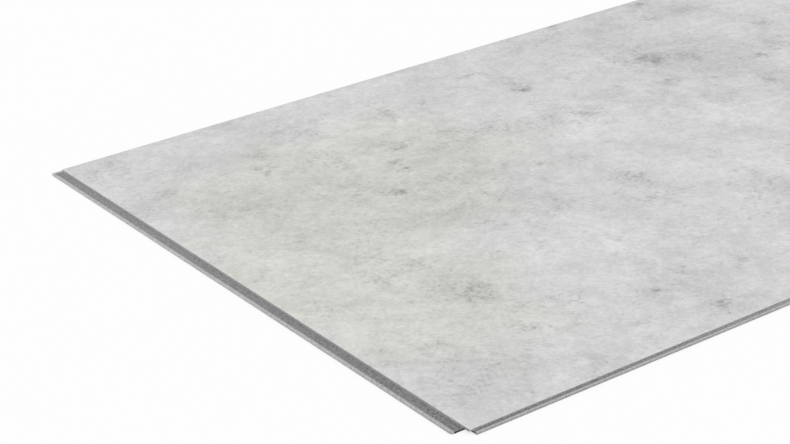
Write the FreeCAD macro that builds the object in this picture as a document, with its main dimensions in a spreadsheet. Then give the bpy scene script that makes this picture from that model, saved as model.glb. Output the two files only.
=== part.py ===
"""Wall panel of rigid PVC: one milled board, decor side up, that interlocks with its neighbours.

X runs along the length, Y across the width and Z up from the back face. In the body's own frame the
corner (0, 0) is where the decor face's left and front edges meet. The left and front edges carry the
lips that stick out under the neighbours, and the right and far edges carry what lies on those lips.
"""
import FreeCAD
import Part
import Sketcher
import os

NODE = "wall_panel"

# Sizes in millimetres. The length and width are those of the decor face, which is what the panel covers.
SIZES = {
    "length": 2600,
    "width": 900,
    "thickness": 5,
    # Heights above the back face that both interlocking edges share.
    "lip_floor": 1.7,
    "slot_roof": 2.9,
    # The lap joint of the short edges: a flat channel, then a ridge along the lip's outer side.
    "lap_channel": 11.0,
    "lap_ridge": 3.5,
    "lap_ridge_top": 3.1,
    # The lap channel stops short of the far edge, and a heel as high as the ridge closes it there.
    "lap_heel": 4.0,
    # The click joint of the long edges: the same in small, with a slot under the decor face for a tongue.
    "click_channel": 2.7,
    "click_ridge": 3.1,
    "click_ridge_top": 2.5,
    "slot_depth": 2.2,
    # How the mating faces are shaped and how freely they fit.
    "ridge_lean": 0.3,
    "lead_in": 0.4,
    "clearance": 0.1,
    "nose_gap": 0.3,
    # The near corner is cut away up to its own roof, so that four panels can meet there.
    "lip_set_back": 10.5,
    "front_lip_start": 4.4,
    "corner_roof": 2.4,
    "lip_mitre": 2.0,
    # The fine bevel round the decor face.
    "arris": 0.4,
}

# How far a milling outline runs on into the air, past the face where the cutter comes in.
AIR = 2.0


def value(name):
    return f"sizes.{name}"


# Sizes worked out from the ones above, as formulas for the sketches.
LAP_REACH = "(sizes.lap_channel + sizes.lap_ridge)"
CLICK_REACH = "(sizes.click_channel + sizes.click_ridge)"
TONGUE_REACH = "(sizes.slot_depth - sizes.nose_gap)"
TONGUE_UNDER = "(sizes.lip_floor + sizes.clearance)"
TONGUE_TOP = "(sizes.slot_roof - sizes.clearance)"
NOSE = f"min(sizes.lead_in; ({TONGUE_TOP} - {TONGUE_UNDER}) / 3)"
# The right edge is hollowed underneath as far in as the neighbour's lap lip reaches, and a little more.
RIGHT_HOLLOW = f"(sizes.length - {LAP_REACH} - sizes.clearance)"
# The underside that passes over a lap ridge or a heel.
LAP_ROOF = "(sizes.lap_ridge_top + sizes.clearance)"
ABOVE = f"sizes.thickness + {AIR}"
BELOW = f"-{AIR}"


def add_sheet(doc):
    """Write every size into the sheet, each under its own name."""
    sheet = doc.addObject("Spreadsheet::Sheet", "sizes")
    for row, (name, size) in enumerate(SIZES.items(), start=1):
        sheet.set(f"A{row}", name)
        sheet.set(f"B{row}", str(size))
        sheet.setAlias(f"B{row}", name)
    doc.recompute()
    return sheet


def origin_plane(body, role):
    """The body's own base plane with this role."""
    return next(f for f in body.Origin.OriginFeatures if f.Role == role)


def add_outline(sheet, body, label, role, corners):
    """Draw a closed outline on a base plane, with both coordinates of every corner bound to a formula."""
    sketch = body.newObject("Sketcher::SketchObject", label)
    sketch.AttachmentSupport = [(origin_plane(body, role), "")]
    sketch.MapMode = "FlatFace"
    places = [[float(sheet.evalExpression(formula)) for formula in corner] for corner in corners]
    ends = places[1:] + places[:1]
    for start, end in zip(places, ends):
        sketch.addGeometry(Part.LineSegment(FreeCAD.Vector(*start, 0), FreeCAD.Vector(*end, 0)), False)
    for line in range(len(corners)):
        following = (line + 1) % len(corners)
        sketch.addConstraint(Sketcher.Constraint("Coincident", line, 2, following, 1))
    for line, (corner, place) in enumerate(zip(corners, places)):
        for kind, formula, number in zip(("DistanceX", "DistanceY"), corner, place):
            mark = sketch.addConstraint(Sketcher.Constraint(kind, -1, 1, line, 1, number))
            sketch.setExpression(f"Constraints[{mark}]", formula)
    return sketch


def add_blank(sheet, body):
    """The board sawn to its plan outline: the decor rectangle, its lips and tongue, and their cut-backs."""
    lip_end = value("lip_set_back")
    corners = [
        ("0", "0"),
        (value("front_lip_start"), "0"),
        (value("front_lip_start"), f"-{CLICK_REACH}"),
        (RIGHT_HOLLOW, f"-{CLICK_REACH}"),
        (RIGHT_HOLLOW, "0"),
        (value("length"), "0"),
        (value("length"), value("width")),
        (RIGHT_HOLLOW, value("width")),
        (RIGHT_HOLLOW, f"sizes.width + {TONGUE_REACH}"),
        (f"-{LAP_REACH}", f"sizes.width + {TONGUE_REACH}"),
        (f"-{LAP_REACH}", f"{lip_end} + sizes.lip_mitre"),
        (f"sizes.lip_mitre - {LAP_REACH}", lip_end),
        ("0", lip_end),
    ]
    pad = body.newObject("PartDesign::Pad", "blank")
    pad.Profile = add_outline(sheet, body, "plan_outline", "XY_Plane", corners)
    pad.setExpression("Length", value("thickness"))
    return pad


def mill(sheet, body, label, role, corners, toward_normal=False, both_ways=False, depth=None):
    """Cut an outline away from the body, right through or to a given depth, and test that it cut."""
    before = body.Shape.Volume
    pocket = body.newObject("PartDesign::Pocket", label)
    pocket.Profile = add_outline(sheet, body, f"{label}_outline", role, corners)
    pocket.Reversed = toward_normal
    pocket.SideType = "Symmetric" if both_ways else "One side"
    pocket.Type = "Length" if depth else "ThroughAll"
    if depth:
        pocket.setExpression("Length", depth)
    body.Document.recompute()
    removed = before - body.Shape.Volume
    if removed < 1.0:
        raise RuntimeError(f"{label} cut nothing away")
    print(f"{label}: {removed / 1000:.1f} cm3 milled away")
    return pocket


def mill_left_lip(sheet, body):
    """Short left edge: down to the top of the ridge and heel, then the channel up to the heel."""
    reach = LAP_REACH
    top = value("lap_ridge_top")
    over = [
        ("0", ABOVE),
        ("0", top),
        (f"sizes.lead_in - {reach}", top),
        (f"-{reach}", f"{top} - sizes.lead_in"),
        (f"-{reach} - {AIR}", f"{top} - sizes.lead_in"),
        (f"-{reach} - {AIR}", ABOVE),
    ]
    channel = [
        ("0", ABOVE),
        ("0", value("lip_floor")),
        ("-sizes.lap_channel", value("lip_floor")),
        ("-sizes.lap_channel - sizes.ridge_lean", top),
        ("-sizes.lap_channel - sizes.ridge_lean", ABOVE),
    ]
    mill(sheet, body, "left_lip", "XZ_Plane", over)
    mill(sheet, body, "left_channel", "XZ_Plane", channel, depth="sizes.width - sizes.lap_heel")


def mill_right_lap(sheet, body):
    """Short right edge: hollowed underneath, to lie in a left lip's channel and over its ridge and heel."""
    face = "sizes.length - sizes.lap_channel"
    edge = f"sizes.length + {AIR}"
    hollow = [
        (RIGHT_HOLLOW, BELOW),
        (RIGHT_HOLLOW, LAP_ROOF),
        (f"{face} - sizes.ridge_lean + sizes.clearance", LAP_ROOF),
        (f"{face} + sizes.clearance", TONGUE_UNDER),
        (edge, TONGUE_UNDER),
        (edge, BELOW),
    ]
    heel = "sizes.width - sizes.lap_heel - sizes.clearance"
    over_heel = [
        (RIGHT_HOLLOW, heel),
        (edge, heel),
        (edge, f"sizes.width + {AIR}"),
        (RIGHT_HOLLOW, f"sizes.width + {AIR}"),
    ]
    mill(sheet, body, "right_lap", "XZ_Plane", hollow)
    mill(sheet, body, "right_heel_relief", "XY_Plane", over_heel, toward_normal=True, depth=LAP_ROOF)


def mill_front_lip(sheet, body):
    """Long front edge: the click lip's channel and ridge, and the slot that undercuts the decor face."""
    reach = CLICK_REACH
    top = value("click_ridge_top")
    corners = [
        ("0", ABOVE),
        ("0", value("slot_roof")),
        (value("slot_depth"), value("slot_roof")),
        (value("slot_depth"), value("lip_floor")),
        ("-sizes.click_channel", value("lip_floor")),
        ("-sizes.click_channel - sizes.ridge_lean", top),
        (f"sizes.lead_in - {reach}", top),
        (f"-{reach}", f"{top} - sizes.lead_in"),
        (f"-{reach} - {AIR}", f"{top} - sizes.lead_in"),
        (f"-{reach} - {AIR}", ABOVE),
    ]
    mill(sheet, body, "front_lip", "YZ_Plane", corners, toward_normal=True)


def mill_far_tongue(sheet, body):
    """Long far edge: a tongue that enters a front slot, and a groove beside it for that lip's ridge.

    The tongue runs on along the end of the lap lip. The groove doesn't, as no ridge comes under that lip.
    """
    nose = f"sizes.width + {TONGUE_REACH}"
    over = [
        (value("width"), ABOVE),
        (value("width"), TONGUE_TOP),
        (f"{nose} - {NOSE}", TONGUE_TOP),
        (nose, f"{TONGUE_TOP} - {NOSE}"),
        (f"{nose} + {AIR}", f"{TONGUE_TOP} - {NOSE}"),
        (f"{nose} + {AIR}", ABOVE),
    ]
    under = [
        (value("width"), BELOW),
        (value("width"), TONGUE_UNDER),
        (f"{nose} - {NOSE}", TONGUE_UNDER),
        (nose, f"{TONGUE_UNDER} + {NOSE}"),
        (f"{nose} + {AIR}", f"{TONGUE_UNDER} + {NOSE}"),
        (f"{nose} + {AIR}", BELOW),
    ]
    groove_start = f"sizes.width - {CLICK_REACH} - sizes.clearance"
    face = "sizes.width - sizes.click_channel"
    roof = "sizes.click_ridge_top + sizes.clearance"
    groove = [
        (groove_start, BELOW),
        (groove_start, roof),
        (f"{face} - sizes.ridge_lean + sizes.clearance", roof),
        (f"{face} + sizes.clearance", TONGUE_UNDER),
        (value("width"), TONGUE_UNDER),
        (value("width"), BELOW),
    ]
    mill(sheet, body, "tongue_top", "YZ_Plane", over, both_ways=True)
    mill(sheet, body, "tongue_underside", "YZ_Plane", under, both_ways=True)
    mill(sheet, body, "ridge_groove", "YZ_Plane", groove, toward_normal=True)


def mill_near_corner(sheet, body):
    """Between the two lips the near corner is cut away from underneath, and stands over bare air."""
    corners = [
        ("0", f"-{AIR}"),
        (value("front_lip_start"), f"-{AIR}"),
        (value("front_lip_start"), value("lip_set_back")),
        ("0", value("lip_set_back")),
    ]
    mill(sheet, body, "corner_relief", "XY_Plane", corners, toward_normal=True, depth=value("corner_roof"))


def break_decor_edges(body):
    """Take the sharpness off the four edges of the decor face."""
    top = float(body.Document.sizes.get("thickness"))
    names = []
    for number, edge in enumerate(body.Tip.Shape.Edges, start=1):
        if all(abs(vertex.Z - top) < 1e-6 for vertex in edge.Vertexes):
            names.append(f"Edge{number}")
    base = body.Tip
    chamfer = body.newObject("PartDesign::Chamfer", "decor_arris")
    chamfer.Base = (base, names)
    chamfer.setExpression("Size", value("arris"))
    body.Document.recompute()
    print(f"arris on {len(names)} edges")


def check(doc, body):
    """Stop if any feature failed or the board is not one sound solid."""
    for thing in doc.Objects:
        if "Invalid" in thing.State or "Error" in thing.State:
            raise RuntimeError(f"{thing.Name} failed: {thing.State}")
    shape = body.Shape
    if shape.isNull() or not shape.isValid() or len(shape.Solids) != 1:
        raise RuntimeError(f"{body.Label} is not one sound solid")


def main():
    doc = FreeCAD.newDocument("wall_panel")
    sheet = add_sheet(doc)
    body = doc.addObject("PartDesign::Body", NODE)
    body.Label = NODE
    add_blank(sheet, body)
    doc.recompute()
    mill_left_lip(sheet, body)
    mill_front_lip(sheet, body)
    mill_right_lap(sheet, body)
    mill_far_tongue(sheet, body)
    mill_near_corner(sheet, body)
    break_decor_edges(body)
    # The row's origin is the middle of the footprint, lips and tongue included, on the back face.
    body.setExpression("Placement.Base.x", f"({LAP_REACH} - sizes.length) / 2")
    body.setExpression("Placement.Base.y", f"({CLICK_REACH} - sizes.width - {TONGUE_REACH}) / 2")
    doc.recompute()
    check(doc, body)
    os.makedirs("parts", exist_ok=True)
    body.Shape.exportStep(f"parts/{NODE}.step")
    box = body.Shape.BoundBox
    print(f"{NODE}: {box.XLength:.1f} x {box.YLength:.1f} x {box.ZLength:.1f} mm, {body.Shape.Volume / 1e6:.3f} l")


main()
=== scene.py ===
# %% [markdown]
# A wall panel of rigid PVC, lying flat with its printed face up. The real one is one board: a sheet of
# lightly foamed PVC with a concrete look printed on a matt film, milled along all four edges so that the
# panels lock together. The CAD model already holds the exact solid. This scene gives each of its faces a
# finish, with painted light and shade in the tones of the bare core, and adds the floor, the light and the
# camera of a plain studio picture.

# %% Tools and frame
import math

import bmesh
import bpy
from mathutils import Matrix, Vector


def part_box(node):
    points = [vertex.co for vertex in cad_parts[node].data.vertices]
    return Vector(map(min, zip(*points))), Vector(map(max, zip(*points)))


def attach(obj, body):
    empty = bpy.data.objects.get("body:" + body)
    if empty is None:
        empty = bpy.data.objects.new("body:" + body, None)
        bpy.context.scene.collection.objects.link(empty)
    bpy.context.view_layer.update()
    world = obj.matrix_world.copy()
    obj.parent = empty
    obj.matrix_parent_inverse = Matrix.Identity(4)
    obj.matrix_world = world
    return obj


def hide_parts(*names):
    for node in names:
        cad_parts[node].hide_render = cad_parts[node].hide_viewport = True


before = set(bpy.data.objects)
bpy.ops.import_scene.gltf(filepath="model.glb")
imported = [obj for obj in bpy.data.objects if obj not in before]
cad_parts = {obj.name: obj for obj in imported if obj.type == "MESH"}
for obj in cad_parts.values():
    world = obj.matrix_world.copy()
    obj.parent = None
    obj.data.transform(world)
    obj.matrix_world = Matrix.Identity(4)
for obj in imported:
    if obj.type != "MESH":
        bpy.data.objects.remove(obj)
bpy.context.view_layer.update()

# %% [markdown]
# Everything is placed from one corner of the printed face, the one nearest the camera. The CAD box reaches
# further than that face: the lips stick out on two sides and the tongue on a third. So the corner is found by
# stepping in from the box by the reach of each. X then runs along the length and Y across the width.

# %% Places on the panel
MM = 0.001
LAP_REACH = 14.5 * MM
CLICK_REACH = 5.8 * MM
TONGUE_REACH = 1.9 * MM
LAP_CHANNEL = 11.0 * MM
CLICK_CHANNEL = 2.7 * MM
LAP_LIP_END = 10.5 * MM
CLICK_LIP_START = 4.4 * MM

low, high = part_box("wall_panel")
face_corner = Vector((low.x + LAP_REACH, low.y + CLICK_REACH, high.z))
face_length = high.x - face_corner.x
face_width = high.y - TONGUE_REACH - face_corner.y
print(f"printed face {face_length:.3f} m by {face_width:.3f} m, {high.z / MM:.1f} mm above the floor")

# %% [markdown]
# The CAD mesh is loose triangles with knife-sharp edges. A real milled edge is never that sharp, and it is
# the small rounding that catches the light. The profile could be drawn again and extruded, but a copy keeps
# every milled face exactly where the frame has it. The copy's doubles are merged and its triangles joined
# into flat faces. A few of those are L-shaped and need two finishes, so the mesh is cut along the lines where
# a finish changes. Then every sharp edge gets a bevel of about a tenth of a millimetre, in two steps so that
# it looks round.

# %% Panel mesh
EDGE_ROUNDING = 0.12 * MM
ROUNDING_STEPS = 2
SAME_POINT = 0.001 * MM
ON_THE_CUT = 0.01 * MM
SAME_PLANE = math.radians(0.5)
SHARP = math.radians(20)
LENGTHWISE_LINES = [-LAP_CHANNEL, 0, CLICK_LIP_START]
CROSSWISE_LINES = [-CLICK_CHANNEL, 0, LAP_LIP_END]

shape = bmesh.new()
shape.from_mesh(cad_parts["wall_panel"].data)
bmesh.ops.remove_doubles(shape, verts=shape.verts, dist=SAME_POINT)
bmesh.ops.dissolve_limit(shape, angle_limit=SAME_PLANE, verts=shape.verts, edges=shape.edges)
print(f"merged: {len(shape.faces)} faces, {len(shape.edges)} edges")
cuts = [(Vector((x, 0, 0)), (1, 0, 0)) for x in LENGTHWISE_LINES]
cuts += [(Vector((0, y, 0)), (0, 1, 0)) for y in CROSSWISE_LINES]
for place, across in cuts:
    everything = list(shape.verts) + list(shape.edges) + list(shape.faces)
    co = face_corner + place
    bmesh.ops.bisect_plane(shape, geom=everything, dist=ON_THE_CUT, plane_co=co, plane_no=across)
print(f"cut where a finish changes: {len(shape.faces)} faces")

sharp_edges = [edge for edge in shape.edges if edge.calc_face_angle() > SHARP]
bmesh.ops.bevel(
    shape,
    geom=sharp_edges,
    offset=EDGE_ROUNDING,
    offset_type="OFFSET",
    affect="EDGES",
    segments=ROUNDING_STEPS,
    profile=0.5,
    material=-1,
    clamp_overlap=True,
)
print(f"rounded: {len(shape.faces)} faces")

# %% [markdown]
# One board, but not one surface. The print lies on the top, and over the tiny bevel of its long edges. On the
# short edges the cutter has taken the film off that bevel. Below it the core lies bare: one grey PVC, drawn
# in lit and shaded tones of that grey. Painted shade makes it dull and dark on the floors of the channels and
# on the walls behind them. Painted light makes it paler on the upright sides and on the ridges, and nearly
# white in the slot of the long edge. At the near corner the ends of the two lips are painted almost black,
# as shade. So each face gets the number of its finish, from its place and from the way it looks. A normal is
# 1 long, so its share along an axis says how squarely the face looks that way.

# %% Faces and finishes
FINISHES = ["print", "arris", "lap_wall", "corner_wall", "lap_channel", "click_channel", "slot"]
FINISHES += ["side", "paler_by_painted_light", "lip_end_painted_shade", "lip_start_painted_shade", "back"]
SLOT_DEPTH = 2.2 * MM
SLOT_ROOF = 2.9 * MM
ARRIS = 0.45 * MM
RIDGE_TOPS = 2.2 * MM
NEAR = 0.2 * MM
SQUARE_ON = 0.9
LEANING = 0.2
UPRIGHT = 0.3


def finish_of(face):
    """Which finish a face of the panel has."""
    middle = face.calc_center_median()
    height = middle.z
    place = middle - face_corner
    facing = face.normal
    if facing.z > LEANING and place.z > -ARRIS:
        return "print" if abs(facing.x) < LEANING else "arris"
    if facing.z < -SQUARE_ON and height < NEAR:
        return "back"
    # The ends of the lips at the near corner are painted shade, almost black.
    if facing.y < -SQUARE_ON and abs(place.y - LAP_LIP_END) < NEAR and place.x > -LAP_CHANNEL:
        return "lip_end_painted_shade"
    # The start of the front lip is painted shade, dark, and so is the wall beside it at the corner.
    if facing.x < -SQUARE_ON and abs(place.x - CLICK_LIP_START) < NEAR:
        return "lip_start_painted_shade" if place.y > -CLICK_CHANNEL else "corner_wall"
    # The slot is drawn nearly white, as painted light against the shade inside it.
    if 0 < place.y < SLOT_DEPTH + NEAR and height < SLOT_ROOF + NEAR and place.x > CLICK_LIP_START:
        return "slot"
    # The wall behind the lap channel is drawn darker, as painted shade, and much darker at the corner.
    if facing.x < -SQUARE_ON and abs(place.x) < NEAR:
        return "lap_wall" if place.y > LAP_LIP_END else "corner_wall"
    # The front wall under the print and the heels of the left lip are drawn paler, as painted light.
    if facing.y < -SQUARE_ON and (abs(place.y) < NEAR or place.x < 0):
        return "paler_by_painted_light"
    if abs(facing.z) <= UPRIGHT:
        return "side"
    # The ridge tops are drawn paler too, as painted light.
    if facing.z > 0 and height > RIDGE_TOPS:
        return "paler_by_painted_light"
    # The channel floors get the darker tones, as painted shade.
    return "click_channel" if place.y < 0 else "lap_channel"


counts = dict.fromkeys(FINISHES, 0)
for face in shape.faces:
    finish = finish_of(face)
    face.material_index = FINISHES.index(finish)
    counts[finish] += 1
panel_mesh = bpy.data.meshes.new("panel")
shape.to_mesh(panel_mesh)
shape.free()
panel = bpy.data.objects.new("panel", panel_mesh)
bpy.context.scene.collection.objects.link(panel)
print("faces of each finish:", counts)

# %% [markdown]
# Colours are written as sRGB hex values, the way a paint card gives them, and one function turns them into
# the linear values that the shader works with. Another adds a node to a material with its settings and its
# links, and a third lays patterns over one another, so that a recipe reads as a list of layers. Each material
# measures from the corner of the printed face.

# %% Material helpers


def linear(hex_colour):
    """An sRGB hex colour as linear RGBA."""
    parts = [int(hex_colour[i : i + 2], 16) / 255 for i in (1, 3, 5)]
    return [c / 12.92 if c <= 0.04045 else ((c + 0.055) / 1.055) ** 2.4 for c in parts] + [1.0]


def add_node(tree, kind, inputs, **settings):
    """Add a node, set it up, fill or link its inputs, and return its outputs."""
    made = tree.nodes.new(kind)
    for name, setting in settings.items():
        setattr(made, name, setting)
    for socket, source in inputs.items():
        if isinstance(source, bpy.types.NodeSocket):
            tree.links.new(source, made.inputs[socket])
        else:
            made.inputs[socket].default_value = source
    return made.outputs


def new_material(name):
    """A material with one Principled shader, and the place on the panel that its patterns read."""
    material = bpy.data.materials.new(name)
    material.use_nodes = True
    tree = material.node_tree
    coordinates = add_node(tree, "ShaderNodeTexCoord", {})["Object"]
    place = add_node(tree, "ShaderNodeMapping", {"Vector": coordinates, "Location": -face_corner})["Vector"]
    return material, tree, tree.nodes["Principled BSDF"], place


def layered(tree, ground, layers):
    """The ground with each pattern of a list laid over it, times its own amount."""
    for pattern, amount in layers:
        inputs = {0: pattern, 1: amount, 2: ground}
        ground = add_node(tree, "ShaderNodeMath", inputs, operation="MULTIPLY_ADD")["Value"]
    return ground


# %% [markdown]
# The print is a picture of fair-faced concrete: light grey, and cloudy at every scale from an arm's length
# down to a grain of sand. A picture file could be laid on it, but noise has no seams and stays sharp however
# near the camera comes. A roughness of 1 keeps each finer octave as strong as the one before, as the clouds
# of the print are. The noise is used as it comes, above and below zero, and scales the brightness up and
# down. Noise is made on a square lattice, and a flat face that lies along the lattice shows its rows. So the
# small clouds and the grain, where the rows would show most, read the place turned askew on all three axes.

# %% Concrete print: clouds and grain
concrete, tree, shader, place = new_material("matt_pvc_film_printed_concrete")

CLOUDS = 330 * MM
SMALL_CLOUDS = CLOUDS / 16
GRAIN = 4 * MM
ASKEW = (0.6, 0.4, 0.7)

askew = add_node(tree, "ShaderNodeMapping", {"Vector": place, "Rotation": ASKEW})["Vector"]
inputs = {"Vector": place, "Scale": 1 / CLOUDS, "Detail": 2.4, "Roughness": 1.0}
clouds = add_node(tree, "ShaderNodeTexNoise", inputs, normalize=False)[0]
inputs = {"Vector": askew, "Scale": 1 / SMALL_CLOUDS, "Detail": 2.6, "Roughness": 1.0}
small_clouds = add_node(tree, "ShaderNodeTexNoise", inputs, normalize=False)[0]
inputs = {"Vector": askew, "Scale": 1 / GRAIN, "Detail": 1, "Roughness": 0.7}
grain = add_node(tree, "ShaderNodeTexNoise", inputs, normalize=False)[0]
brightness = layered(tree, 1.0, [(clouds, 0.1), (small_clouds, 0.087), (grain, 0.062)])
print(f"clouds {CLOUDS / MM:.0f} mm wide, small ones {SMALL_CLOUDS / MM:.0f} mm, grain {GRAIN / MM:.0f} mm")

# %% [markdown]
# On real concrete, dirt and air holes gather in swarms, with broad stains, single holes and a few scratches
# between them. Noise alone never puts them where the real board has them, so the larger ones are listed, in
# millimetres from the near corner: the middle, the length, the width and the turn of an oval, and how dark it
# is. A negative number is a paler patch. A Mapping node turns each oval into a round spot of radius 1, and a
# spherical gradient fades it outwards. The place that they read is pushed about by noise first, so that no
# outline is a clean oval. A film is printed by a turning cylinder, so its picture comes round again. The
# lists hold one turn of 1.3 m, and a Wrap brings the rest of the board back to it.

# %% Concrete print: how a stain is laid
CYLINDER_TURN = 1300 * MM
FIRST_TURN_START = -150 * MM


def add_stains(tree, place, stains):
    """The sum of soft ovals, each as strong as its last number says."""
    spots = []
    for x, y, length, width, turn, strength in stains:
        inputs = {
            "Vector": place,
            "Location": (x * MM, y * MM, 0),
            "Rotation": (0, 0, math.radians(turn)),
            "Scale": (length / 2 * MM, width / 2 * MM, 1),
        }
        oval = add_node(tree, "ShaderNodeMapping", inputs, vector_type="TEXTURE")["Vector"]
        spot = add_node(tree, "ShaderNodeTexGradient", {"Vector": oval}, gradient_type="SPHERICAL")[1]
        spots.append((spot, strength))
    return layered(tree, 0.0, spots)


def pushed_about(tree, place, size, reach):
    """The place, shifted up to this far by noise of this size."""
    inputs = {"Vector": place, "Scale": 1 / size, "Detail": 2}
    noise = add_node(tree, "ShaderNodeTexNoise", inputs, normalize=False)[1]
    inputs = {0: noise, 1: (reach, reach, 0), 2: place}
    return add_node(tree, "ShaderNodeVectorMath", inputs, operation="MULTIPLY_ADD")["Vector"]


def in_first_turn(tree, place):
    """The same place of the picture in the cylinder's first turn, which starts just off the board."""
    inputs = {0: place, 1: (FIRST_TURN_START + CYLINDER_TURN, 1, 1), 2: (FIRST_TURN_START, -1, -1)}
    return add_node(tree, "ShaderNodeVectorMath", inputs, operation="WRAP")["Vector"]


print(f"the picture comes round every {CYLINDER_TURN / MM:.0f} mm")

# %% [markdown]
# The broad stains have no edge of their own, so they are pushed about the furthest. Along the far edge the
# print is drawn a little darker, as painted shade, and along the two near ones a little paler, as painted
# highlight: that is a list of three long thin bands, which stay straight and don't come round with the
# cylinder.

# %% Concrete print: broad stains and painted edge light
BROAD_STAINS = [
    (250, 560, 560, 640, 70, 0.055), (840, 660, 330, 170, 25, 0.13), (900, 830, 420, 260, 20, 0.06),
    (780, 590, 150, 70, 45, 0.06), (450, 120, 330, 130, 5, 0.035), (60, 70, 200, 110, 10, 0.05),
    (20, 180, 200, 60, 0, 0.045), (540, 350, 130, 130, 0, 0.05), (480, 670, 170, 50, 5, 0.05),
    (300, 440, 200, 60, 0, 0.045), (210, 760, 110, 110, 0, 0.05), (430, 420, 200, 120, 30, 0.02),
    (490, 750, 260, 130, 0, 0.12), (780, 500, 280, 240, 20, 0.11), (745, 650, 130, 130, 0, 0.05),
    (900, 860, 280, 120, 0, 0.075), (250, 450, 150, 120, 0, 0.06), (30, 470, 140, 180, 0, 0.035),
    (250, 610, 180, 260, 0, 0.035), (470, 60, 130, 110, 0, 0.05), (970, 870, 260, 130, 10, 0.05),
    (1060, 650, 160, 160, 0, 0.05), (250, 150, 180, 150, 0, -0.125), (370, 460, 200, 300, 0, -0.05),
    (560, 290, 360, 200, 0, -0.04), (150, 40, 170, 110, 0, -0.11), (500, 850, 240, 100, 0, -0.08),
    (450, 250, 160, 150, 0, -0.05), (400, 550, 240, 130, 0, -0.06), (600, 340, 500, 170, 0, -0.03),
    (770, 760, 160, 130, 0, -0.09),
]
# Painted shade along the far edge, and painted highlight along the two near ones.
EDGE_SHADE_AND_HIGHLIGHT = [
    (500, 903, 6000, 36, 0, 0.065), (500, 0, 6000, 24, 0, -0.03), (0, 450, 24, 6000, 0, -0.03),
]
broad_place = in_first_turn(tree, pushed_about(tree, place, 120 * MM, 60 * MM))
broad = add_stains(tree, broad_place, BROAD_STAINS)
edge_shade_and_highlight = add_stains(tree, place, EDGE_SHADE_AND_HIGHLIGHT)
print(f"{len(BROAD_STAINS)} broad stains, {len(EDGE_SHADE_AND_HIGHLIGHT)} rims")

# %% [markdown]
# Air that was caught against the mould leaves single dark holes, about a fingertip across. They are pushed
# about just enough to be ragged. The scratches are thin, and stay straight.

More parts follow.
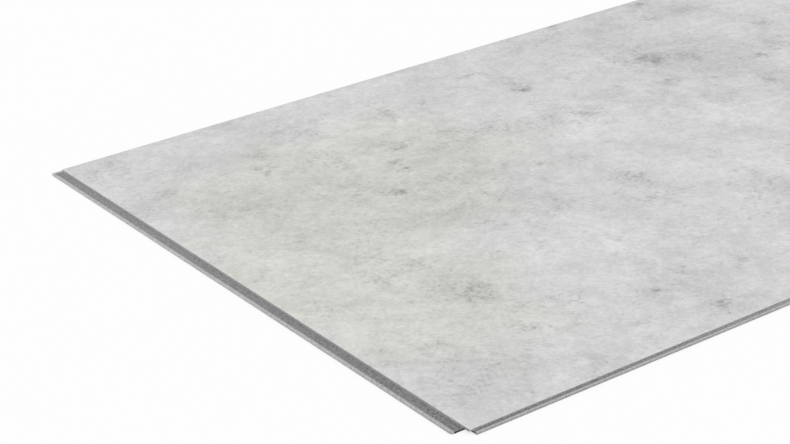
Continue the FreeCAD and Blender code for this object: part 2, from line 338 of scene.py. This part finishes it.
# %% Concrete print: air holes and scratches
AIR_HOLES = [
    (188, 250, 11, 19, 0, 0.22), (206, 241, 15, 12, 0, 0.12), (172, 237, 20, 12, 0, 0.14),
    (184, 222, 12, 19, 0, 0.14), (162, 212, 15, 10, 0, 0.12), (168, 145, 14, 10, 0, 0.2),
    (180, 129, 11, 10, 0, 0.22), (184, 183, 9, 13, 0, 0.12), (200, 140, 14, 7, 0, 0.1),
    (302, 141, 11, 13, 0, 0.12), (334, 110, 15, 12, 0, 0.24), (352, 131, 10, 19, 0, 0.1),
    (46, 93, 12, 10, 0, 0.22), (42, 83, 18, 12, 0, 0.1), (145, 92, 11, 10, 0, 0.2),
    (166, 85, 11, 10, 0, 0.12), (70, 60, 18, 8, -20, 0.14), (85, 68, 12, 10, 0, 0.1),
    (24, 46, 15, 7, 40, 0.12), (268, 62, 19, 12, 0, 0.16), (168, 63, 9, 7, 0, 0.12),
    (371, 45, 9, 17, 0, 0.18), (366, 33, 18, 11, 0, 0.18), (357, 18, 9, 17, -20, 0.14),
    (310, 13, 11, 8, 0, 0.12), (208, 22, 14, 7, 0, 0.1), (458, 104, 14, 11, 0, 0.18),
    (475, 95, 11, 7, 0, 0.1), (62, 168, 15, 17, 0, 0.14), (85, 162, 12, 17, 20, 0.14),
    (10, 230, 18, 11, 0, 0.12), (83, 238, 10, 14, 0, 0.14), (124, 322, 10, 17, 0, 0.2),
    (122, 341, 11, 12, 0, 0.14), (138, 305, 16, 11, 0, 0.14), (170, 310, 16, 12, 0, 0.14),
    (175, 285, 18, 17, 0, 0.1), (222, 307, 14, 10, 0, 0.12), (271, 306, 10, 8, 0, 0.16),
    (315, 333, 14, 10, 0, 0.1), (342, 330, 12, 10, 0, 0.12), (430, 314, 16, 10, 0, 0.12),
    (308, 383, 14, 7, 30, 0.24), (328, 385, 12, 8, 30, 0.14), (322, 361, 18, 7, 0, 0.12),
    (30, 371, 11, 7, 0, 0.16), (165, 362, 14, 10, 0, 0.12), (125, 371, 11, 7, 0, 0.1),
    (215, 427, 19, 7, 0, 0.2), (228, 424, 11, 7, 0, 0.14), (257, 434, 11, 7, 0, 0.2),
    (193, 397, 11, 8, 0, 0.14), (210, 406, 9, 11, 0, 0.12), (315, 436, 8, 13, -30, 0.18),
    (325, 431, 20, 10, 0, 0.14), (443, 435, 16, 13, 0, 0.14), (462, 401, 11, 7, 0, 0.14),
    (383, 397, 10, 8, 0, 0.12), (192, 713, 11, 11, 0, 0.26), (194, 695, 11, 13, 0, 0.26),
    (200, 740, 9, 13, 0, 0.14), (215, 708, 19, 13, 0, 0.14), (210, 757, 16, 11, 0, 0.12),
    (70, 725, 19, 16, 0, 0.16), (113, 686, 11, 10, 0, 0.12), (122, 682, 10, 11, 0, 0.12),
    (33, 620, 15, 13, 0, 0.14), (165, 604, 10, 11, 0, 0.12), (155, 575, 12, 10, 0, 0.14),
    (190, 563, 14, 10, 0, 0.14), (240, 558, 14, 11, 0, 0.12), (45, 536, 11, 8, 0, 0.12),
    (288, 524, 11, 11, 0, 0.26), (206, 511, 16, 13, 0, 0.18), (106, 470, 11, 11, 0, 0.1),
    (240, 491, 12, 11, 0, 0.14), (190, 482, 10, 11, 0, 0.12), (400, 485, 18, 11, 0, 0.12),
    (467, 480, 18, 14, 0, 0.24), (447, 477, 11, 14, 0, 0.1), (500, 500, 11, 8, 0, 0.14),
    (335, 617, 32, 18, 0, 0.28), (348, 613, 9, 11, 0, 0.22), (335, 589, 12, 11, 0, 0.42),
    (322, 588, 16, 12, 0, 0.24), (337, 575, 14, 13, 0, 0.16), (264, 667, 11, 13, 0, 0.12),
    (270, 655, 10, 16, 0, 0.12), (252, 683, 10, 16, 0, 0.1), (283, 633, 16, 13, 0, 0.14),
    (222, 625, 8, 18, 20, 0.12), (360, 648, 14, 8, 0, 0.16), (378, 652, 19, 8, 10, 0.14),
    (392, 665, 15, 11, 0, 0.12), (438, 633, 15, 16, 0, 0.18), (460, 641, 11, 16, 0, 0.2),
    (447, 662, 16, 18, 0, 0.1), (425, 810, 10, 16, 0, 0.24), (437, 808, 9, 10, 0, 0.12),
    (427, 783, 10, 17, 0, 0.14), (420, 738, 15, 20, 0, 0.22), (487, 762, 8, 24, -35, 0.2),
    (474, 728, 10, 18, 0, 0.14), (365, 823, 14, 8, 0, 0.12), (55, 806, 14, 8, 0, 0.1),
    (622, 707, 28, 17, 0, 0.2), (618, 682, 11, 10, 0, 0.12), (592, 809, 22, 8, 15, 0.18),
    (645, 745, 18, 11, 35, 0.14), (625, 578, 14, 14, 0, 0.16), (580, 590, 18, 11, 30, 0.12),
    (578, 571, 12, 10, 0, 0.12), (582, 500, 11, 12, 0, 0.14), (722, 626, 12, 11, 0, 0.18),
    (706, 769, 11, 8, 0, 0.1), (841, 561, 14, 12, 0, 0.28), (822, 692, 25, 17, 20, 0.26),
    (835, 700, 12, 17, 0, 0.2), (830, 665, 38, 26, 40, 0.22), (878, 627, 18, 29, -25, 0.24),
    (890, 662, 20, 26, -20, 0.14), (893, 708, 16, 13, 0, 0.14), (935, 722, 30, 12, 15, 0.12),
    (950, 585, 22, 16, 0, 0.22), (922, 592, 15, 10, 20, 0.2), (985, 582, 20, 17, -30, 0.16),
    (893, 497, 18, 24, -25, 0.2), (891, 472, 12, 17, 0, 0.16), (900, 545, 9, 29, 0, 0.14),
    (788, 597, 22, 17, 0, 0.16), (780, 580, 18, 22, -30, 0.1), (983, 882, 20, 13, 35, 0.34),
    (945, 815, 28, 11, 10, 0.14), (975, 825, 32, 11, 15, 0.12), (1010, 770, 15, 10, -30, 0.12),
    (820, 892, 15, 11, 0, 0.26), (805, 862, 15, 7, 30, 0.12), (895, 862, 20, 11, 0, 0.12),
    (1055, 682, 18, 11, 0, 0.2), (1012, 648, 18, 10, 0, 0.12), (470, 872, 12, 11, 0, 0.14),
    (712, 892, 15, 11, 0, 0.14), (735, 515, 12, 10, 30, 0.12), (665, 360, 11, 8, 0, 0.12),
    (540, 367, 11, 14, -30, 0.14),
]
SCRATCHES = [
    (182, 352, 3, 80, 0, 0.2), (206, 575, 3, 90, 0, 0.12), (274, 790, 3, 110, 0, 0.1),
    (284, 785, 3, 110, 0, 0.1), (293, 800, 3, 90, 0, 0.08), (135, 715, 3, 90, 0, 0.08),
    (400, 100, 120, 3, 2, 0.08), (375, 651, 60, 4, 14, 0.1),
]
hole_place = in_first_turn(tree, pushed_about(tree, place, 12 * MM, 4 * MM))
holes = add_stains(tree, hole_place, AIR_HOLES)
scratches = add_stains(tree, in_first_turn(tree, place), SCRATCHES)
print(f"{len(AIR_HOLES)} air holes, {len(SCRATCHES)} scratches")

# %% [markdown]
# A swarm is a patch, a palm or less across, where fine dark specks crowd together. The clearest are listed.
# The rest of the board, and the ground between them, gets loose swarms from a noise, about two thirds as
# strong. Another noise says where the specks are: a speck is where it rises over a threshold, and inside a
# swarm the threshold drops, so specks grow and run together there. The ground of a swarm is a little darker
# too. Then all these marks are laid over the clouds and the grain. How dark each air hole is was judged,
# and one factor for all of them sets how much they show.

# %% Concrete print: swarms of specks
SWARMS = [
    (185, 240, 70, 90, 0, 1.0), (165, 285, 60, 60, 0, 0.6), (120, 340, 35, 90, 0, 0.6),
    (80, 165, 70, 35, 0, 0.8), (172, 135, 40, 45, 0, 0.9), (335, 112, 36, 30, 0, 1.0),
    (365, 30, 34, 70, -15, 0.9), (62, 70, 90, 40, 10, 0.7), (155, 92, 50, 40, 0, 0.7),
    (265, 62, 34, 26, 0, 0.7), (455, 102, 60, 24, 0, 0.7), (582, 215, 70, 34, 20, 0.8),
    (528, 362, 70, 80, 0, 0.8), (315, 437, 90, 36, 0, 0.8), (306, 385, 60, 26, 0, 0.6),
    (336, 612, 40, 34, 0, 1.3), (335, 585, 40, 40, 0, 0.9), (370, 655, 60, 34, 20, 0.8),
    (196, 705, 34, 50, 0, 1.0), (215, 760, 60, 60, 0, 0.7), (275, 660, 60, 60, 0, 0.6),
    (430, 770, 26, 110, 3, 0.9), (490, 765, 30, 40, -30, 0.8), (452, 648, 60, 40, 0, 0.7),
    (470, 482, 26, 30, 0, 0.9), (286, 526, 34, 28, 0, 0.8), (60, 725, 60, 40, 0, 0.5),
    (620, 708, 44, 40, 0, 1.2), (596, 808, 60, 26, 15, 0.9), (620, 578, 34, 40, 0, 0.9),
    (580, 585, 30, 60, -10, 0.7), (830, 682, 70, 100, -10, 1.2), (880, 655, 70, 90, -20, 0.8),
    (790, 596, 60, 50, 0, 0.9), (930, 690, 90, 60, 20, 0.7), (841, 561, 26, 24, 0, 0.9),
    (950, 585, 44, 34, 0, 1.0), (893, 505, 34, 70, -15, 0.9), (983, 882, 60, 34, 30, 1.1),
    (820, 890, 40, 30, 0, 0.9), (945, 815, 110, 40, 15, 0.8), (722, 626, 24, 22, 0, 0.8),
    (1052, 680, 44, 34, 20, 0.9),
]
SWARM_SPACING = 110 * MM
LOOSE_STRENGTH = 0.65
SPECKS = 5.5 * MM
THRESHOLD = 0.58
THRESHOLD_DROP = 0.19
FULL_SPECK = 0.8
HOLE_FACTOR = 0.9

swarm_place = in_first_turn(tree, pushed_about(tree, place, 25 * MM, 10 * MM))
listed_swarms = add_stains(tree, swarm_place, SWARMS)
inputs = {"Vector": place, "Scale": 1 / SWARM_SPACING, "Detail": 4, "Roughness": 0.7}
swarm_noise = add_node(tree, "ShaderNodeTexNoise", inputs)[0]
inputs = {"Value": swarm_noise, "From Min": 0.46, "From Max": 0.7, "To Max": LOOSE_STRENGTH}
loose_swarms = add_node(tree, "ShaderNodeMapRange", inputs, interpolation_type="SMOOTHSTEP")["Result"]
swarm = add_node(tree, "ShaderNodeMath", {0: listed_swarms, 1: loose_swarms}, operation="ADD")["Value"]

inputs = {"Vector": askew, "Scale": 1 / SPECKS, "Detail": 2, "Roughness": 0.6}
speck_noise = add_node(tree, "ShaderNodeTexNoise", inputs)[0]
raised = layered(tree, speck_noise, [(swarm, THRESHOLD_DROP)])
inputs = {"Value": raised, "From Min": THRESHOLD, "From Max": FULL_SPECK}
specks = add_node(tree, "ShaderNodeMapRange", inputs, interpolation_type="SMOOTHSTEP")["Result"]
marks = [(specks, -0.2), (swarm, -0.085), (broad, -1.0), (holes, -HOLE_FACTOR)]
brightness = layered(tree, brightness, marks + [(scratches, -1.0), (edge_shade_and_highlight, -1.0)])
print(f"{len(SWARMS)} listed swarms, others {SWARM_SPACING / MM:.0f} mm apart, specks {SPECKS / MM:.1f} mm")

# %% [markdown]
# The concrete of the print is a little olive on the left, and neutral everywhere else. So two greys are mixed
# by two more soft stains, and the brightness scales the mix. The film itself is matt PVC: its index of
# refraction is 1.53, and its roughness is about a half and wanders a little, which gives a broad soft sheen
# and no clear reflection. It is embossed with a shallow grain of a few tenths of a millimetre, too fine to
# show, so that is drawn here at 1.5 mm. The bump takes it as a few hundredths of a millimetre deep.

# %% Concrete print: colour and surface
NEUTRAL_GREY = "#D1D1D1"
OLIVE_GREY = "#D2D2CC"
OLIVE_GROUND = [(270, 600, 560, 460, 0, 2.5), (110, 330, 330, 560, 10, 2.5)]
PVC_IOR = 1.53
FILM_ROUGHNESS = 0.52
EMBOSSING = 1.5 * MM
EMBOSSED_DEPTH = 0.05 * MM

olive = add_stains(tree, broad_place, OLIVE_GROUND)
olive = add_node(tree, "ShaderNodeMapRange", {"Value": olive}, interpolation_type="SMOOTHSTEP")["Result"]
inputs = {0: olive, 6: linear(NEUTRAL_GREY), 7: linear(OLIVE_GREY)}
grey = add_node(tree, "ShaderNodeMix", inputs, data_type="RGBA")[2]
colour = add_node(tree, "ShaderNodeVectorMath", {0: grey, "Scale": brightness}, operation="SCALE")["Vector"]
tree.links.new(colour, shader.inputs["Base Color"])

shader.inputs["IOR"].default_value = PVC_IOR
tree.links.new(layered(tree, FILM_ROUGHNESS, [(clouds, 0.03)]), shader.inputs["Roughness"])
inputs = {"Vector": place, "Scale": 1 / EMBOSSING, "Detail": 2, "Roughness": 0.6}
embossing = add_node(tree, "ShaderNodeTexNoise", inputs)[0]
inputs = {"Height": embossing, "Strength": 0.35, "Distance": EMBOSSED_DEPTH}
tree.links.new(add_node(tree, "ShaderNodeBump", inputs)["Normal"], shader.inputs["Normal"])
print(f"print: {len(tree.nodes)} nodes")

# %% [markdown]
# Bare PVC is a plain grey with no film over it. Foaming leaves fine cells, which the cutter opens, so its
# tone is grainy: the cells are a few tenths of a millimetre across, and are drawn here at 3 mm so that they
# still show. The tone also wanders a little, in blotches of about 60 mm, and is painted darker towards the
# near corner, as shade, by one more soft oval, 1.4 m across. The almost black lip ends, which are painted
# shade, are drawn rougher and mirror less, so that they stay dark. Bump gives the cut faces their fine tool
# marks, and draws them out along the length of the back, which is as the extruder left it.

# %% Bare PVC
CELLS = 3 * MM
BLOTCHES = 60 * MM
SHADE_OVAL_SPAN = 1400
TOOL_MARKS = 0.4 * MM
TOOL_MARK_DEPTH = 0.02 * MM
ANY_WAY = (1, 1, 1)
ALONG_LENGTH = (0.01, 1, 1)


def bare_pvc(name, hex_colour, roughness, shade_amount, grain, along=ANY_WAY, specular=0.5):
    """Rigid PVC with no film, grainy by this share, and painted darker by another at the near corner, as
    shade.
    """
    material, tree, shader, place = new_material(name)
    inputs = {"Vector": place, "Scale": 1 / CELLS, "Detail": 3, "Roughness": 0.7}
    cells = add_node(tree, "ShaderNodeTexNoise", inputs, normalize=False)[0]
    inputs = {"Vector": place, "Scale": 1 / BLOTCHES, "Detail": 2, "Roughness": 0.6}
    blotches = add_node(tree, "ShaderNodeTexNoise", inputs, normalize=False)[0]
    # A soft oval round the near corner paints shade there.
    corner_shade_oval = add_stains(tree, place, [(0, 0, SHADE_OVAL_SPAN, SHADE_OVAL_SPAN, 0, 1.0)])
    tone = layered(tree, 1.0, [(cells, grain), (blotches, 0.05), (corner_shade_oval, -shade_amount)])
    inputs = {0: linear(hex_colour)[:3], "Scale": tone}
    colour = add_node(tree, "ShaderNodeVectorMath", inputs, operation="SCALE")["Vector"]
    tree.links.new(colour, shader.inputs["Base Color"])

    shader.inputs["IOR"].default_value = PVC_IOR
    shader.inputs["Specular IOR Level"].default_value = specular
    tree.links.new(layered(tree, roughness, [(cells, 0.06)]), shader.inputs["Roughness"])
    stretched = add_node(tree, "ShaderNodeMapping", {"Vector": place, "Scale": along})["Vector"]
    inputs = {"Vector": stretched, "Scale": 1 / TOOL_MARKS, "Detail": 1, "Roughness": 0.5}
    tool_marks = add_node(tree, "ShaderNodeTexNoise", inputs)[0]
    inputs = {"Height": tool_marks, "Strength": 0.4, "Distance": TOOL_MARK_DEPTH}
    tree.links.new(add_node(tree, "ShaderNodeBump", inputs)["Normal"], shader.inputs["Normal"])
    return material


materials = {
    "print": concrete,
    "arris": bare_pvc("milled_rigid_pvc_arris", "#ACACAC", 0.6, 0.1, 0.25),
    # painted shade: the walls behind the channels, darker than the sides
    "lap_wall": bare_pvc("milled_rigid_pvc_wall", "#989898", 0.65, 0.15, 0.25),
    # painted shade: the walls at the near corner, much darker
    "corner_wall": bare_pvc("milled_rigid_pvc_corner", "#6A6A6A", 0.65, 0.0, 0.25),
    # painted shade: the floors of the lap channels, dark
    "lap_channel": bare_pvc("milled_rigid_pvc_floor", "#8C8C8C", 0.65, 0.25, 0.46),
    # painted shade: the floors of the click channels, darker than the ridges
    "click_channel": bare_pvc("milled_rigid_pvc_click_floor", "#A8A8A8", 0.65, 0.5, 0.22),
    # painted light: the slot, nearly white
    "slot": bare_pvc("milled_rigid_pvc_slot", "#F2F2F2", 0.65, 0.35, 0.25),
    # painted light: the upright sides, paler than the channels
    "side": bare_pvc("milled_rigid_pvc_side", "#A0A0A0", 0.6, 0.17, 0.27),
    # painted light: the ridge tops, the front walls and the heels, paler
    "paler_by_painted_light": bare_pvc("rigid_pvc_painted_paler", "#B0B0B0", 0.5, 0.07, 0.25),
    # painted shade: the lip ends at the near corner, almost black
    "lip_end_painted_shade": bare_pvc("rigid_pvc_painted_shade_lip_ends", "#040404", 0.9, 0.0, 0.4, specular=0.1),
    # painted shade: the start of the front lip, dark
    "lip_start_painted_shade": bare_pvc("rigid_pvc_painted_shade_lip_start", "#363636", 0.8, 0.0, 0.4, specular=0.3),
    "back": bare_pvc("extruded_rigid_pvc", "#B4B4B2", 0.45, 0.0, 0.25, ALONG_LENGTH),
}
for finish in FINISHES:
    panel.data.materials.append(materials[finish])
    print(f"{finish}: {materials[finish].name}")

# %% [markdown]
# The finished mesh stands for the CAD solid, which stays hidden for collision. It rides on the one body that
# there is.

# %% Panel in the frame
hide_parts("wall_panel")
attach(panel, "root")

# %% [markdown]
# The picture is a cut-out on white, so the floor is white paper and runs out to the horizon. A floor that is
# only lit renders a little grey. More light would bleach the panel too, so what the camera sees of the floor
# is part paper, which keeps the panel's soft shadow, and part plain white.

# %% Floor
FLOOR_SIDE = 30.0
PLAIN_WHITE_SHARE = 0.6

floor_shape = bmesh.new()
bmesh.ops.create_grid(floor_shape, x_segments=1, y_segments=1, size=FLOOR_SIDE / 2)
floor_mesh = bpy.data.meshes.new("floor")
floor_shape.to_mesh(floor_mesh)
floor_shape.free()
floor = bpy.data.objects.new("floor", floor_mesh)
bpy.context.scene.collection.objects.link(floor)

paper = bpy.data.materials.new("white_paper")
paper.use_nodes = True
tree = paper.node_tree
shader = tree.nodes["Principled BSDF"]
shader.inputs["Base Color"].default_value = linear("#FBFBFB")
shader.inputs["Roughness"].default_value = 1.0
shader.inputs["Specular IOR Level"].default_value = 0.0
rays = add_node(tree, "ShaderNodeLightPath", {})
seen = rays["Is Camera Ray"]
for ray in ("Is Glossy Ray", "Is Transmission Ray"):
    seen = add_node(tree, "ShaderNodeMath", {0: seen, 1: rays[ray]}, operation="MAXIMUM")[0]
share = add_node(tree, "ShaderNodeMath", {0: seen, 1: PLAIN_WHITE_SHARE}, operation="MULTIPLY")[0]
white = add_node(tree, "ShaderNodeEmission", {"Color": (1, 1, 1, 1), "Strength": 1.0})[0]
mixed = add_node(tree, "ShaderNodeMixShader", {0: share, 1: shader.outputs[0], 2: white})[0]
tree.links.new(mixed, tree.nodes["Material Output"].inputs["Surface"])
floor.data.materials.append(paper)
print(f"floor {FLOOR_SIDE:.0f} m square")

# %% [markdown]
# The light is a white room and one large soft lamp. In the photograph the walls that face left are as bright
# as the flat ground beside them, and the ones that face the front are duller, so the lamp stands on the left,
# 20 degrees round to the front and 30 degrees up. A sun with a wide angle gives the soft edge of a big panel,
# but no falloff along 2.6 m of board. A sun of strength pi lights a surface that faces it as fully as a white
# room of strength 1 does, and the two shares are chosen so that a flat surface gets 1 in all: then a colour
# renders about as it is written.

# %% Light
LAMP_HEIGHT = math.radians(30)
LAMP_TURN = math.radians(20)
LAMP_ANGLE = math.radians(50)
LAMP_SHARE = 0.25

world = bpy.data.worlds.new("white_room")
bpy.context.scene.world = world
world.use_nodes = True
background = world.node_tree.nodes["Background"]
background.inputs["Color"].default_value = (1, 1, 1, 1)
background.inputs["Strength"].default_value = 1 - LAMP_SHARE

lamp_data = bpy.data.lights.new("soft_lamp", "SUN")
lamp_data.energy = math.pi * LAMP_SHARE / math.sin(LAMP_HEIGHT)
lamp_data.angle = LAMP_ANGLE
lamp = bpy.data.objects.new("soft_lamp", lamp_data)
bpy.context.scene.collection.objects.link(lamp)
lamp_turn = Matrix.Rotation(math.pi + LAMP_TURN, 4, "Z")
lamp.matrix_world = lamp_turn @ Matrix.Rotation(math.pi / 2 - LAMP_HEIGHT, 4, "Y")
print(f"room {1 - LAMP_SHARE:.2f}, lamp energy {lamp_data.energy:.2f}")

# %% [markdown]
# The camera stands where the photograph was taken from. Its turn and its focal length come from the
# directions in which the panel's long and short edges run towards their vanishing points. Its distance comes
# from the real size of the short side.

# %% Camera
FOCAL_PX = 1988.0
PHOTO_WIDTH = 790
SENSOR = 36.0
HEADING = math.radians(32.98)
PITCH = math.radians(23.91)
ROLL = math.radians(4.06)
CAMERA_FROM_CORNER = Vector((-961.6, -1375.8, 969.0)) * MM

camera_data = bpy.data.cameras.new("camera")
camera_data.sensor_width = SENSOR
camera_data.lens = FOCAL_PX * SENSOR / PHOTO_WIDTH
camera = bpy.data.objects.new("camera", camera_data)
bpy.context.scene.collection.objects.link(camera)
heading = Matrix.Rotation(-HEADING, 4, "Z")
pitch = Matrix.Rotation(math.pi / 2 - PITCH, 4, "X")
roll = Matrix.Rotation(-ROLL, 4, "Z")
camera.matrix_world = Matrix.Translation(face_corner + CAMERA_FROM_CORNER) @ heading @ pitch @ roll
bpy.context.scene.camera = camera
bpy.context.scene.view_settings.view_transform = "Standard"
print(f"lens {camera_data.lens:.1f} mm on a {SENSOR:.0f} mm sensor")
